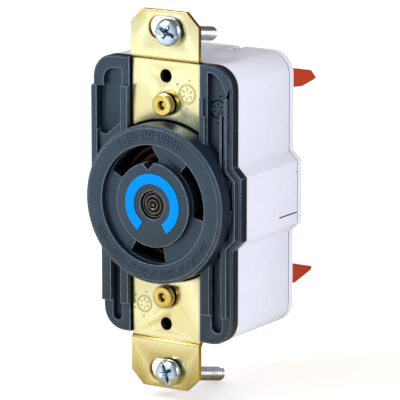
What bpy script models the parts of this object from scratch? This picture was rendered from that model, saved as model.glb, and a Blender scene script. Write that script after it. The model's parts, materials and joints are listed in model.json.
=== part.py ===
"""Flush locking receptacle: black cover with a round collar, yellow metal straps, white rear body
and three clamp levers. Shapes are made in millimetres, and each becomes metres when it is finished.
+X is the right of the face, -Y points out of the face and +Z is up. The origin is on the device
axis, in the plane of the strap ears' back faces."""

import math

import bmesh
import bpy
from mathutils import Matrix, Vector

MM = 0.001

# Outline shared by the cover, the body and the back cover.
TOP_Z = 33.9
BOTTOM_Z = -33.3
RIGHT_X = 18.9
RIGHT_BUMP_X = 21.3
LEFT_UPPER_X = -20.4
LEFT_LOWER_X = -17.6
BUMP_HALF_HEIGHT = 7.6
CORNER_R = 5.6
BODY_INSET = 0.15
WALL = 2.0

# Depths, from the front (negative) to the back.
COLLAR_Y = -6.6
LEDGE_Y = -6.1
FLOOR_Y = -4.6
FACE_BACK_Y = -2.4
WING_Y = -1.3
RIB_Y = -2.2
RECESS_Y = 0.6
GROOVE_Y = -0.3
CHANNEL_Y = 0.9
COVER_BACK_Y = 1.6
BODY_FRONT_Y = 1.9
BODY_WALL_BACK_Y = 4.4
BODY_BACK_Y = 24.6
LID_FRONT_Y = 24.9
LID_BACK_Y = 27.3

# Round face.
COLLAR_R = 19.2
COLLAR_FACE_R = 18.5
GROOVE_OUTER_R = 14.5
GROOVE_INNER_R = 10.2
CAVITY_R = 16.4
HUB_R = 3.45
HUB_FLOOR_Y = -4.7
SHAFT_HOLE_R = 1.8
SLOT_SPANS = {"ground": (95.0, 152.0), "line_1": (-12.0, 51.0), "line_2": (238.5, 280.0)}
NOTCH = [(-3.2, 10.2), (-1.3, 8.3), (0.8, 10.6), (-1.3, 13.4)]
MARK_INNER_R = 5.1
MARK_OUTER_R = 7.6
MARK_SPAN = (-58.0, 238.0)

# Straps.
STRAP_THICK = 1.2
STRAP_HALF_WIDTH = 9.62
STRAP_SET_BACK = 0.6
STRAP_COLLAR_R = 19.7
CHANNEL_HALF_WIDTH = 10.0
JOGGLE_Z = 34.2
JOGGLE_RADII = (0.2, 1.35)
JOGGLE_STEPS = 6
EAR_END_Z = 45.9
EAR_CHAMFER_Z = 42.55
EAR_END_HALF_WIDTH = 6.2
EAR_SLOT_Z = 41.67
EAR_SLOT_LENGTH = 9.0
EAR_SLOT_R = 2.8
PLATE_HOLE_Z = 30.16
PLATE_HOLE_R = 1.6
EYELET_Z = 23.35
EYELET_HOLE_R = 1.95

# Mounting screws: pivot height, how far the free tip droops, and how far it leans to the left.
SCREW_X = 1.7
SCREW_PIVOT_Y = -0.6
SCREW_PIVOTS = {"upper": (40.72, 9.5, 6.6), "lower": (-42.15, 13.0, 0.0)}
SCREW_HEAD_R = 3.3
SCREW_SHANK_R = 1.7
SCREW_TIP = 22.4

# Levers: the hinge line is along X at LEVER_Y.
LEVER_Y = 25.2
LEVER_HUB_R = 2.3
LEVER_SHAFT_R = 0.9
LONG_LEVER = [(0.0, -2.2), (5.3, -1.75), (9.3, -1.75), (14.6, -0.4), (15.7, 0.1), (13.2, 2.0),
              (4.6, 2.75), (0.0, 2.2)]
SHORT_LEVER = [(0.0, -2.2), (6.3, -2.25), (13.8, -0.5), (13.8, 0.3), (6.1, 2.25), (0.0, 2.2)]
PORT_R = 3.1

# Each pole: lever's X span and hinge height, the angle it opens at, where the shaft's far end is,
# the wire port's centre, and whether the closed lever points down (-1) or up (1).
POLES = {
    "line_1": {"lever_x": (10.4, 16.6), "hinge_z": 26.6, "tilt": -6.0, "shaft_x": 1.6,
               "port": (4.6, 20.2), "closes": -1, "profile": LONG_LEVER, "spring_end": 31.2},
    "line_2": {"lever_x": (10.4, 16.6), "hinge_z": -22.0, "tilt": 0.0, "shaft_x": 1.6,
               "port": (4.6, -15.6), "closes": 1, "profile": SHORT_LEVER, "spring_end": -30.9},
    "ground": {"lever_x": (-17.6, -11.4), "hinge_z": 9.0, "tilt": -6.0, "shaft_x": -3.2,
               "port": (-6.6, 2.4), "closes": -1, "profile": LONG_LEVER, "spring_end": 13.6},
}

COLOURS = {
    "black_plastic": ((0.030, 0.036, 0.046), 0.0, 0.35),
    "white_plastic": ((0.80, 0.81, 0.86), 0.0, 0.45),
    "red_plastic": ((0.70, 0.09, 0.03), 0.0, 0.45),
    "blue_mark": ((0.0, 0.33, 0.90), 0.0, 0.50),
    "yellow_strap": ((0.84, 0.76, 0.44), 1.0, 0.28),
    "brass": ((0.80, 0.58, 0.22), 1.0, 0.25),
    "contact_brass": ((0.75, 0.55, 0.28), 1.0, 0.35),
    "zinc_steel": ((0.66, 0.68, 0.72), 1.0, 0.25),
    "dark_rivet": ((0.06, 0.055, 0.055), 1.0, 0.35),
    "spring_steel": ((0.55, 0.56, 0.58), 1.0, 0.30),
    "fibre": ((0.70, 0.66, 0.58), 0.0, 0.80),
}


def clear_scene():
    for obj in list(bpy.data.objects):
        bpy.data.objects.remove(obj, do_unlink=True)


def material(name):
    found = bpy.data.materials.get(name)
    if found:
        return found
    colour, metallic, roughness = COLOURS[name]
    made = bpy.data.materials.new(name)
    made.use_nodes = True
    shader = made.node_tree.nodes["Principled BSDF"]
    shader.inputs["Base Color"].default_value = (*colour, 1.0)
    shader.inputs["Metallic"].default_value = metallic
    shader.inputs["Roughness"].default_value = roughness
    return made


def object_from(name, mesh_data):
    """Turns a bmesh into a scene object that faces out."""
    bmesh.ops.recalc_face_normals(mesh_data, faces=mesh_data.faces)
    mesh = bpy.data.meshes.new(name)
    mesh_data.to_mesh(mesh)
    mesh_data.free()
    obj = bpy.data.objects.new(name, mesh)
    bpy.context.scene.collection.objects.link(obj)
    return obj


def loft(name, rings):
    """Joins equal-length rings of points with side faces and caps the two ends."""
    work = bmesh.new()
    loops = [[work.verts.new(point) for point in ring] for ring in rings]
    count = len(loops[0])
    for near, far in zip(loops, loops[1:]):
        for i in range(count):
            j = (i + 1) % count
            work.faces.new((near[i], near[j], far[j], far[i]))
    work.faces.new(loops[0])
    work.faces.new(loops[-1])
    return object_from(name, work)


def plate(name, outline, y_front, y_back):
    """A flat piece: the (x, z) outline, from one depth to another."""
    return loft(name, [[(x, y, z) for x, z in outline] for y in (y_front, y_back)])


def side_plate(name, outline, x_low, x_high):
    """A piece with a (y, z) outline, extruded along X."""
    return loft(name, [[(x, y, z) for y, z in outline] for x in (x_low, x_high)])


def block(name, low, high):
    outline = [(low[0], low[2]), (high[0], low[2]), (high[0], high[2]), (low[0], high[2])]
    return plate(name, outline, low[1], high[1])


def disc(name, radius, y_front, y_back, centre=(0.0, 0.0), sides=48):
    return plate(name, circle(radius, centre, sides), y_front, y_back)


def circle(radius, centre=(0.0, 0.0), sides=48):
    return arc_points(radius, 0.0, 360.0 - 360.0 / sides, sides, centre)


def arc_points(radius, start, end, count, centre=(0.0, 0.0)):
    """Points on an arc about the centre; angles in degrees from +X towards +Z."""
    points = []
    for i in range(count):
        angle = math.radians(start + (end - start) * i / (count - 1))
        points.append((centre[0] + radius * math.cos(angle), centre[1] + radius * math.sin(angle)))
    return points


def sector(inner, outer, start, end, steps=14):
    """The outline of a piece of a ring."""
    return arc_points(outer, start, end, steps) + arc_points(inner, end, start, steps)


def racetrack(length, radius, centre, ends=10):
    """A slot outline that runs along X."""
    reach = length / 2 - radius
    right = arc_points(radius, -90.0, 90.0, ends, (centre[0] + reach, centre[1]))
    left = arc_points(radius, 90.0, 270.0, ends, (centre[0] - reach, centre[1]))
    return right + left


def turned(name, profile, centre=(0.0, 0.0), sides=32):
    """A solid of revolution about Y, through (radius, y) steps, with flat ends."""
    rings = [[(x, y, z) for x, z in circle(radius, centre, sides)] for radius, y in profile]
    return loft(name, rings)


def turned_ring(name, profile, centre=(0.0, 0.0), sides=32):
    """A hollow solid of revolution about Y; the (radius, y) profile is a closed loop."""
    work = bmesh.new()
    rings = [[work.verts.new((x, y, z)) for x, z in circle(r, centre, sides)] for r, y in profile]
    for near, far in zip(rings, rings[1:] + rings[:1]):
        for i in range(sides):
            j = (i + 1) % sides
            work.faces.new((near[i], near[j], far[j], far[i]))
    return object_from(name, work)


def combine(target, tool, operation):
    """Applies one exact Boolean and removes the tool."""
    modifier = target.modifiers.new("combine", "BOOLEAN")
    modifier.operation = operation
    modifier.solver = "EXACT"
    modifier.object = tool
    bpy.context.view_layer.update()
    graph = bpy.context.evaluated_depsgraph_get()
    finished = bpy.data.meshes.new_from_object(target.evaluated_get(graph))
    target.modifiers.clear()
    old = target.data
    target.data = finished
    bpy.data.meshes.remove(old)
    bpy.data.objects.remove(tool, do_unlink=True)
    return target


def cut(target, *tools):
    for tool in tools:
        combine(target, tool, "DIFFERENCE")
    return target


def join(target, *tools):
    for tool in tools:
        combine(target, tool, "UNION")
    return target


def finish(obj, material_name, origin=(0.0, 0.0, 0.0)):
    """Turns a finished shape into metres, with its material and its origin on any joint axis."""
    obj.data.materials.clear()
    obj.data.materials.append(material(material_name))
    point = Vector(origin)
    obj.data.transform(Matrix.Scale(MM, 4) @ Matrix.Translation(-point))
    obj.location = point * MM
    return obj


def device_outline(inset):
    """The (x, z) outline, moved inwards by inset. It is wider at the collar and at the upper left."""
    radius = CORNER_R - inset
    high = TOP_Z - CORNER_R
    low = BOTTOM_Z + CORNER_R
    narrow = RIGHT_X - CORNER_R
    slant = math.tan(math.radians(22.5)) * inset
    bump = BUMP_HALF_HEIGHT - slant
    rise = bump + RIGHT_BUMP_X - RIGHT_X
    fall = bump + LEFT_LOWER_X - LEFT_UPPER_X
    points = [(RIGHT_X - inset, -rise), (RIGHT_BUMP_X - inset, -bump)]
    points += [(RIGHT_BUMP_X - inset, bump), (RIGHT_X - inset, rise)]
    points += arc_points(radius, 0.0, 90.0, 9, (narrow, high))
    points += arc_points(radius, 90.0, 180.0, 9, (LEFT_UPPER_X + CORNER_R, high))
    points += [(LEFT_UPPER_X + inset, -bump), (LEFT_LOWER_X + inset, -fall)]
    points += arc_points(radius, 180.0, 270.0, 9, (LEFT_LOWER_X + CORNER_R, low))
    points += arc_points(radius, 270.0, 360.0, 9, (narrow, low))
    return points


def rounded_shell(name, steps):
    """A loft of the device outline through (depth, inset) steps."""
    return loft(name, [[(x, y, z) for x, z in device_outline(inset)] for y, inset in steps])


def slot_cutter(name, span, inner, outer, y_front, y_back):
    return plate(name, sector(inner, outer, span[0], span[1]), y_front, y_back)


def wing_ribs():
    """The raised ribs on the wings' rims. Each starts inside the wing, so the join overlaps."""
    deep = WING_Y + 0.5
    upper = [(17.9, 26.5), (17.25, 26.5), (17.25, 9.3), (19.6, 6.95), (19.6, 0.0)]
    lower = [(18.9, 0.0), (18.9, -6.6), (16.4, -9.1), (16.4, -26.3), (17.85, -26.3)]
    outer = [(17.85, -9.55), (20.25, -7.15), (20.25, 7.15), (17.9, 9.5)]
    right = plate("right_rib", upper + lower + outer, RIB_Y, deep)
    others = [
        ("rib_a", (LEFT_UPPER_X + 0.05, 4.0), (-18.75, 26.4)),
        ("rib_b", (-12.0, 12.0), (-CHANNEL_HALF_WIDTH - 0.05, 26.8)),
        ("rib_c", (10.35, 12.0), (11.8, 21.9)),
        ("rib_c_top", (10.35, 21.0), (11.2, 26.3)),
        ("rib_g", (16.05, 8.0), (16.6, 22.4)),
        ("rib_d", (LEFT_LOWER_X + 0.05, -26.1), (-14.95, -11.5)),
        ("rib_e", (-12.25, -26.4), (-CHANNEL_HALF_WIDTH - 0.05, -11.5)),
        ("rib_f", (10.6, -26.2), (13.1, -11.5)),
    ]
    return [right] + [block(n, (a[0], RIB_Y, a[1]), (b[0], deep, b[1])) for n, a, b in others]


def wing_recesses():
    """Cutters for the sunk panels of the four wings."""
    front = RIB_Y - 1.0
    corner_left = (LEFT_UPPER_X + CORNER_R + 0.3, TOP_Z - CORNER_R - 0.4)
    corner_right = (RIGHT_X - CORNER_R - 1.0, TOP_Z - CORNER_R - 0.2)
    upper_left = [(-12.1, 18.2), (-12.1, 30.9)] + arc_points(2.9, 90.0, 180.0, 6, corner_left)
    upper_left += [(-17.4, 26.3), (-18.85, 26.3), (-18.85, 15.6), (-18.1, 14.6), (-16.4, 14.6)]
    upper_right = [(16.05, 9.0), (16.05, 22.2), (17.2, 22.8), (17.2, 27.6)] + arc_points(4.2, 10.0, 75.0, 6, corner_right)
    upper_right += [(12.1, 32.2), (12.1, 9.0)]
    lower_left = [(-12.3, -11.0), (-14.9, -11.0)] + arc_points(1.3, 180.0, 360.0, 9, (-13.6, -29.6))
    lower_right = [(16.3, -11.0), (13.2, -11.0)] + arc_points(1.55, 180.0, 360.0, 9, (14.75, -28.9))
    outlines = [upper_left, upper_right, lower_left, lower_right]
    groove = block("groove", (16.6, front, 8.9), (17.2, GROOVE_Y, 22.0))
    return [groove] + [plate("recess", outline, front, RECESS_Y) for outline in outlines]


def build_front_cover():
    """Wings, strap channel, collar, sunk ring with three slots, and the hub recess."""
    cover = rounded_shell("front_cover", [(WING_Y, 0.35), (WING_Y + 0.35, 0.0), (COVER_BACK_Y, 0.0)])
    join(cover, *wing_ribs())
    cut(cover, *wing_recesses())
    cut(cover, block("channel", (-CHANNEL_HALF_WIDTH, -9.0, -40.0), (CHANNEL_HALF_WIDTH, CHANNEL_Y, 40.0)))
    collar = [(COLLAR_FACE_R - 0.15, COLLAR_Y), (COLLAR_FACE_R, COLLAR_Y + 0.15)]
    collar += [(COLLAR_FACE_R, LEDGE_Y), (COLLAR_R - 0.2, LEDGE_Y), (COLLAR_R, LEDGE_Y + 0.2)]
    collar += [(COLLAR_R, COVER_BACK_Y - 0.3)]
    join(cover, turned("collar", collar, sides=96))
    groove = [(GROOVE_INNER_R, COLLAR_Y - 1.0), (GROOVE_OUTER_R, COLLAR_Y - 1.0)]
    groove += [(GROOVE_OUTER_R, FLOOR_Y), (GROOVE_INNER_R, FLOOR_Y)]
    cut(cover, turned_ring("groove", groove, sides=96))
    cut(cover, disc("cavity", CAVITY_R, FACE_BACK_Y, COVER_BACK_Y + 1.0, sides=72))
    for span in SLOT_SPANS.values():
        cut(cover, slot_cutter("slot", span, GROOVE_INNER_R + 0.08, GROOVE_OUTER_R - 0.08, FLOOR_Y - 1.0, 0.0))
    cut(cover, plate("notch", NOTCH, COLLAR_Y - 1.0, 0.0))
    cut(cover, disc("hub", HUB_R, COLLAR_Y - 1.0, HUB_FLOOR_Y, sides=40))
    cut(cover, disc("hub_hole", SHAFT_HOLE_R, COLLAR_Y, 3.0, sides=24))
    for z in (EYELET_Z, -EYELET_Z):
        cut(cover, disc("eyelet_hole", EYELET_HOLE_R, 0.0, 3.0, (0.0, z), 24))
    for z in (PLATE_HOLE_Z, -PLATE_HOLE_Z):
        cut(cover, disc("plate_screw_hole", 2.1, 0.0, 3.0, (0.0, z), 24))
    finish(cover, "black_plastic")


def build_marking_arc():
    """The coloured arc printed on the hub disc, gapped at the bottom."""
    outline = sector(MARK_INNER_R, MARK_OUTER_R, MARK_SPAN[0], MARK_SPAN[1], 44)
    finish(plate("marking_arc", outline, COLLAR_Y - 0.20, COLLAR_Y - 0.05), "blue_mark")


def joggle(y_set_back, z_start, tight, wide):
    """(y, z) points of the step from the set-back flat up to the ear: a tight arc, then a wide one."""
    points = []
    turn = math.acos(1.0 - STRAP_SET_BACK / (tight + wide))
    for i in range(JOGGLE_STEPS):
        angle = turn * i / JOGGLE_STEPS
        points.append((y_set_back - tight * (1.0 - math.cos(angle)), z_start + tight * math.sin(angle)))
    z_end = z_start + (tight + wide) * math.sin(turn)
    for i in range(JOGGLE_STEPS + 1):
        angle = turn * (1.0 - i / JOGGLE_STEPS)
        lift = y_set_back - STRAP_SET_BACK + wide * (1.0 - math.cos(angle))
        points.append((lift, z_end - wide * math.sin(angle)))
    return points


def build_strap(side, up):
    """One strap half: a flat set back from the ear by a small joggle. up is 1 or -1."""
    back = STRAP_SET_BACK
    front = back - STRAP_THICK
    section = [(front, 14.0), *joggle(front, JOGGLE_Z - 0.5, *JOGGLE_RADII)]
    section += [(-STRAP_THICK, EAR_END_Z), (0.0, EAR_END_Z)]
    section += [*reversed(joggle(back, JOGGLE_Z - 0.5, *reversed(JOGGLE_RADII))), (back, 14.0)]
    wide = STRAP_HALF_WIDTH
    strap = side_plate(side + "_strap", [(y, up * z) for y, z in section], -wide, wide)
    cut(strap, disc("collar_gap", STRAP_COLLAR_R, -5.0, 5.0, sides=120))
    for x in (-1, 1):
        corner = [(x * EAR_END_HALF_WIDTH, up * EAR_END_Z), (x * wide, up * EAR_CHAMFER_Z)]
        corner += [(x * (wide + 3), up * EAR_CHAMFER_Z), (x * (wide + 3), up * (EAR_END_Z + 3))]
        corner += [(x * EAR_END_HALF_WIDTH, up * (EAR_END_Z + 3))]
        cut(strap, plate("corner", corner, -5.0, 5.0))
    slot = racetrack(EAR_SLOT_LENGTH, EAR_SLOT_R, (0.0, up * EAR_SLOT_Z))
    cut(strap, plate("ear_slot", slot, -5.0, 5.0))
    cut(strap, disc("plate_hole", PLATE_HOLE_R, -5.0, 5.0, (0.0, up * PLATE_HOLE_Z), 24))
    cut(strap, disc("eyelet_hole", EYELET_HOLE_R, -5.0, 5.0, (0.0, up * EYELET_Z), 24))
    finish(strap, "yellow_strap")


def build_eyelet(side, up):
    """Hollow spool-headed eyelet, clinched behind the bonding bar."""
    profile = [(1.1, -2.6), (2.5, -2.6), (2.7, -2.45), (2.7, -2.1), (2.55, -1.95), (2.15, -1.95)]
    profile += [(2.15, -1.6), (2.75, -1.5), (2.75, -0.9), (1.6, -0.9), (1.6, 5.8), (2.6, 5.8)]
    profile += [(2.6, 6.4), (1.1, 6.4)]
    finish(turned_ring(side + "_eyelet", profile, (0.0, up * EYELET_Z), 28), "brass")


def build_centre_rivet():
    """The rivet on the device axis: ringed head in the hub, formed tail in the back cover."""
    head = [(0.5, -6.4), (0.55, -6.0), (1.0, -6.0), (1.05, -6.3), (1.5, -6.3)]
    head += [(1.55, -5.95), (2.05, -5.95), (2.1, -6.2), (2.6, -6.2), (3.15, -5.9), (3.15, -5.0)]
    tail = [(1.5, -5.0), (1.5, 26.2), (2.4, 26.2), (2.4, 26.7), (1.6, 27.15)]
    finish(turned("centre_rivet", head + tail, sides=32), "dark_rivet")


def build_contact_body():
    """White housing: front wall with a boss for the contacts, outer walls and two partitions."""
    body = rounded_shell("contact_body", [(BODY_FRONT_Y, BODY_INSET), (BODY_BACK_Y, BODY_INSET)])
    inside = [(BODY_WALL_BACK_Y, WALL), (BODY_BACK_Y + 1.0, WALL)]
    cut(body, rounded_shell("inside", inside))
    join(body, disc("boss", 16.0, FACE_BACK_Y + 0.3, 3.0, sides=64))
    for z in (14.2, -10.2):
        join(body, block("partition", (-17.0 if z < 0 else -19.4, 9.2, z), (17.6, 21.8, z + 1.2)))
    for start, end in SLOT_SPANS.values():
        cut(body, slot_cutter("pocket", (start - 3.0, end + 3.0), 10.6, 14.1, -5.0, 6.0))
    cut(body, disc("shaft_hole", SHAFT_HOLE_R, -5.0, 6.0, sides=24))
    for z in (EYELET_Z, -EYELET_Z):
        cut(body, disc("eyelet_hole", EYELET_HOLE_R, 0.0, 6.0, (0.0, z), 24))
    for z in (PLATE_HOLE_Z, -PLATE_HOLE_Z):
        cut(body, disc("plate_screw_hole", 2.1, 0.0, 6.0, (0.0, z), 24))
    cut(body, block("right_slit", (18.6, 16.5, -5.1), (23.0, 26.0, -4.75)))
    cut(body, block("right_tick", (20.4, 23.9, 4.9), (23.0, 26.0, 5.2)))
    cut(body, block("left_latch", (-23.0, 16.5, -4.8), (-18.85, 26.0, 5.2)))
    cut(body, block("top_notch", (3.2, 21.0, TOP_Z - 0.9), (5.4, 26.0, TOP_Z + 1.0)))
    for pole in POLES.values():
        end = lever_shaft(pole)
        outer = end[1] + 0.3 if pole["shaft_x"] > 0 else end[0] - 0.3
        span = sorted((outer, sum(pole["lever_x"]) / 2))
        low = (span[0], LEVER_Y - 1.3, pole["hinge_z"] - 1.3)
        cut(body, block("bearing", low, (span[1], 26.0, pole["hinge_z"] + 1.3)))
    finish(body, "white_plastic")


def lever_shaft(pole):
    """Where a lever's shaft starts and ends along X."""
    low_x, high_x = pole["lever_x"]
    outer_end = high_x + 0.9 if pole["shaft_x"] > 0 else low_x - 0.9
    return sorted((pole["shaft_x"], outer_end))


def lever_window(pole):
    """The opening a lever swings through, with 0.4 mm to spare round the closed lever."""
    low_x, high_x = pole["lever_x"]
    hinge = pole["hinge_z"]
    reach = max(u for u, _ in pole["profile"]) + 0.7
    ends = sorted((hinge - pole["closes"] * 2.8, hinge + pole["closes"] * reach))
    return block("window", (low_x - 0.4, 20.0, ends[0]), (high_x + 0.4, 30.0, ends[1]))


def build_back_cover():
    """White lid with snap latches, wire ports, lever windows and the grooves for lever shafts."""
    steps = [(LID_FRONT_Y, BODY_INSET), (LID_BACK_Y - 0.7, BODY_INSET), (LID_BACK_Y, BODY_INSET + 0.7)]
    lid = rounded_shell("back_cover", steps)
    join(lid, block("right_latch", (17.9, 20.8, -4.4), (19.15, 25.6, 4.4)))
    join(lid, block("left_latch", (LEFT_UPPER_X + BODY_INSET, 16.8, -4.5), (-19.2, 25.6, 4.9)))
    for pole in POLES.values():
        cut(lid, lever_window(pole))
        port = pole["port"]
        funnel = [(PORT_R, 20.0), (PORT_R, LID_BACK_Y - 0.7), (PORT_R + 0.9, LID_BACK_Y + 0.2)]
        cut(lid, turned("port", funnel, port, 32))
        start, end = lever_shaft(pole)
        low = (start - 0.4, 20.0, pole["hinge_z"] - 1.3)
        cut(lid, block("shaft_groove", low, (end + 0.4, LEVER_Y + 1.3, pole["hinge_z"] + 1.3)))
    cut(lid, disc("shaft_hole", SHAFT_HOLE_R, 20.0, 30.0, sides=24))
    cut(lid, disc("tail_seat", 2.8, 25.9, 30.0, sides=32))
    cut(lid, block("top_notch", (3.2, 21.0, TOP_Z - 0.9), (5.4, 30.0, TOP_Z + 1.0)))
    finish(lid, "white_plastic")


def build_lever(name, pole):
    """A clamp lever standing open: tapered blade, round hub and a shaft through its bearings."""
    low_x, high_x = pole["lever_x"]
    blade = side_plate(name + "_lever", pole["profile"], low_x, high_x)
    join(blade, side_plate("hub", circle(LEVER_HUB_R, sides=28), low_x, high_x))
    start, end = lever_shaft(pole)
    join(blade, side_plate("shaft", circle(LEVER_SHAFT_R, sides=20), start, end))
    blade.data.transform(Matrix.Rotation(math.radians(pole["tilt"]), 4, "X"))
    blade.data.transform(Matrix.Translation((0.0, LEVER_Y, pole["hinge_z"])))
    finish(blade, "red_plastic", (sum(pole["lever_x"]) / 2, LEVER_Y, pole["hinge_z"]))


def build_jaw(name, pole):
    """The plate that presses the wire onto its pad when the lever is shut."""
    x, z = pole["port"]
    away = -pole["closes"]
    faces = sorted((z + away * 3.4, z + away * 4.8))
    tooth = sorted((z + away * 2.9, z + away * 3.6))
    jaw = block(name + "_jaw", (x - 2.5, 11.0, faces[0]), (x + 2.5, 21.0, faces[1]))
    for y in (13.0, 16.0, 19.0):
        join(jaw, block("tooth", (x - 2.3, y - 0.5, tooth[0]), (x + 2.3, y + 0.5, tooth[1])))
    finish(jaw, "zinc_steel", (x, 16.0, sum(faces) / 2))


def build_spring(name, pole):
    """A coil spring between the jaw and the housing."""
    x, z = pole["port"]
    away = -pole["closes"]
    start = z + away * 5.5
    end = pole["spring_end"] - away * 0.5
    turns = 5 if abs(end - start) < 8 else 8
    steps = turns * 14
    coil_r, wire_r, sides = 1.7, 0.3, 6
    rings = []
    for i in range(steps + 1):
        angle = 2 * math.pi * turns * i / steps
        out = Vector((math.cos(angle), math.sin(angle), 0.0))
        middle = Vector((x, 16.0, start + (end - start) * i / steps)) + out * coil_r
        ring = []
        for k in range(sides):
            phase = 2 * math.pi * k / sides
            ring.append(middle + wire_r * (out * math.cos(phase) + Vector((0, 0, math.sin(phase)))))
        rings.append(ring)
    finish(loft(name + "_spring", rings), "spring_steel")


def build_contact(name, pole, tail, pad_x):
    """A two-leaf contact behind its slot, a flat tail and the pad the wire is pressed onto."""
    start, end = SLOT_SPANS[name]
    start, end = start + 1.0, end - 1.0
    contact = plate(name + "_contact", sector(11.0, 13.7, start, end), 1.2, 8.8)
    cut(contact, plate("throat", sector(11.6, 13.1, start - 5, end + 5, 16), -4.0, 6.8))
    join(contact, plate("tail", tail, 8.0, 8.8))
    z = pole["port"][1] + pole["closes"] * 3.4
    pad = sorted((z, z + pole["closes"] * 0.8))
    join(contact, block("pad", (pad_x[0], 8.0, pad[0]), (pad_x[1], 22.0, pad[1])))
    finish(contact, "contact_brass")


def build_contacts():
    """Each tail is a flat outline that links the contact's base with its pad."""
    line_1 = [(8.0, 8.0), (11.0, 8.4), (7.6, 17.1), (1.7, 17.1), (1.7, 16.1), (5.5, 15.5)]
    line_2 = [(-1.5, -13.4), (-1.5, -11.4), (1.6, -11.3), (1.6, -12.0), (7.5, -12.0), (7.5, -13.4)]
    line_2 = [(x, z) for x, z in reversed(line_2)]
    ground = [(-12.2, 5.6), (-9.8, 6.3), (-9.8, -0.9), (-9.5, -1.7), (-12.2, -1.7)]
    build_contact("line_1", POLES["line_1"], line_1, (1.6, 7.6))
    build_contact("line_2", POLES["line_2"], line_2, (1.6, 7.6))
    build_contact("ground", POLES["ground"], ground, (-10.4, -3.6))


def build_bonding_bar():
    """Flat bar inside the body that ties the two eyelets, and so the two straps, together."""
    outline = [(-3.0, 20.4), (14.6, 20.4), (14.6, -20.4), (-3.0, -20.4), (-3.0, -26.3)]
    outline += [(12.0, -26.3), (16.5, -22.0), (16.5, 22.0), (12.0, 26.3), (-3.0, 26.3)]
    bar = plate("bonding_bar", outline, 4.7, 5.5)
    for z in (EYELET_Z, -EYELET_Z):
        cut(bar, disc("eyelet_hole", EYELET_HOLE_R, 0.0, 8.0, (0.0, z), 24))
    finish(bar, "contact_brass")


def build_mounting_screw(side, pivot_z, droop, lean):
    """Long screw hanging in the ear slot, with its fibre washer behind the ear."""
    under = -1.6
    head = [(0.7, under - 1.75), (1.6, under - 1.62), (2.5, under - 1.3), (3.1, under - 0.75)]
    head += [(SCREW_HEAD_R, under - 0.25), (SCREW_HEAD_R, under)]
    shank = [(SCREW_SHANK_R, under), (SCREW_SHANK_R, SCREW_TIP - 0.5), (1.3, SCREW_TIP)]
    screw = turned(side + "_mounting_screw", head + shank, sides=32)
    for size in ((2.1, 0.45), (0.45, 2.1)):
        cut(screw, block("drive", (-size[0], under - 3.0, -size[1]), (size[0], under - 0.7, size[1])))
    washer = turned_ring(side + "_screw_washer", [(2.0, 1.6), (3.0, 1.6), (3.0, 2.4), (2.0, 2.4)], sides=32)
    pivot = (SCREW_X, SCREW_PIVOT_Y, pivot_z)
    for obj, name in ((screw, "zinc_steel"), (washer, "fibre")):
        obj.data.transform(Matrix.Rotation(math.radians(lean), 4, "Z"))
        obj.data.transform(Matrix.Rotation(math.radians(-droop), 4, "X"))
        obj.data.transform(Matrix.Translation(pivot))
        finish(obj, name, pivot)


def main():
    clear_scene()
    build_front_cover()
    build_marking_arc()
    for side, up in (("upper", 1), ("lower", -1)):
        build_strap(side, up)
        build_eyelet(side, up)
        build_mounting_screw(side, *SCREW_PIVOTS[side])
    build_centre_rivet()
    build_contact_body()
    build_back_cover()
    build_contacts()
    build_bonding_bar()
    for name, pole in POLES.items():
        build_lever(name, pole)
        build_jaw(name, pole)
        build_spring(name, pole)


main()
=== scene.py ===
"""Studio scene of a flush locking receptacle. Every piece stands where its CAD node is, in metres.
Sizes that belong to small parts are written in millimetres and scaled once, when a piece is made."""

import json
import math

import bmesh
import bpy
from mathutils import Matrix, Vector


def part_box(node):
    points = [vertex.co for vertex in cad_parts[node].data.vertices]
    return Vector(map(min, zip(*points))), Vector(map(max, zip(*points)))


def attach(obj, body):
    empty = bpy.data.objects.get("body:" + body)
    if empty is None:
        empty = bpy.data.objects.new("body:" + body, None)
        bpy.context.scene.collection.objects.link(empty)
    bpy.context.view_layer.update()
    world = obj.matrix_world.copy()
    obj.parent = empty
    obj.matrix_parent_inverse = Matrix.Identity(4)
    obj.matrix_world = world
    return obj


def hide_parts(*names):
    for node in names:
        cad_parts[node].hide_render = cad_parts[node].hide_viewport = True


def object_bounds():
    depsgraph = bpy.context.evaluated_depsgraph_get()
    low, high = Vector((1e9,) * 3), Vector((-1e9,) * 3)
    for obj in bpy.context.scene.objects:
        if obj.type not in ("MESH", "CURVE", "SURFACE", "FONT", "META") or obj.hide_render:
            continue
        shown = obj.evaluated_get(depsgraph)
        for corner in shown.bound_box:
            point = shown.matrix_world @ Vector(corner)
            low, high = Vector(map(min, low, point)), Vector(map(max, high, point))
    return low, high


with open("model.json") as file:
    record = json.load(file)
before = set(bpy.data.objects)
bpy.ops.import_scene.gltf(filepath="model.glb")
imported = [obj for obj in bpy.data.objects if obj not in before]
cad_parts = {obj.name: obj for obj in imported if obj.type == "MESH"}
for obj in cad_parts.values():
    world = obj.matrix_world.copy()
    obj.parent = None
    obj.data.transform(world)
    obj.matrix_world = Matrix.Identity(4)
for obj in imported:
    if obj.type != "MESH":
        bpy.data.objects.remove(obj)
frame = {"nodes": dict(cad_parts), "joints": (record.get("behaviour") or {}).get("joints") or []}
cad_low, cad_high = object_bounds()

MM = 0.001
TO_METRES = Matrix.Scale(MM, 4)
AS_DRAWN = Matrix.Identity(4)
SMOOTH_BELOW = math.radians(32)
ROUND_ABOVE = 38
FLAT_WITHIN = math.radians(0.6)
MERGE_WITHIN = 1e-5
CAD_MERGE_WITHIN = 2e-6
POLES = ("line_1", "line_2", "ground")
SIDES = ("upper", "lower")

# Collar face, and where its raised marks sit between the rim and the groove, in degrees from +X.
COLLAR_FACE_Y = -6.6
MARK_BAND_R = 16.75
MARK_SPANS = [(62.0, 129.0), (204.0, 335.0)]
MARK_STEP = math.radians(3.1)

# Fronts of the flat strap and of the wing's sunk field, where the struck rings stand.
STRAP_FRONT_Y = -0.6
WING_FIELD_Y = 0.6

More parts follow.
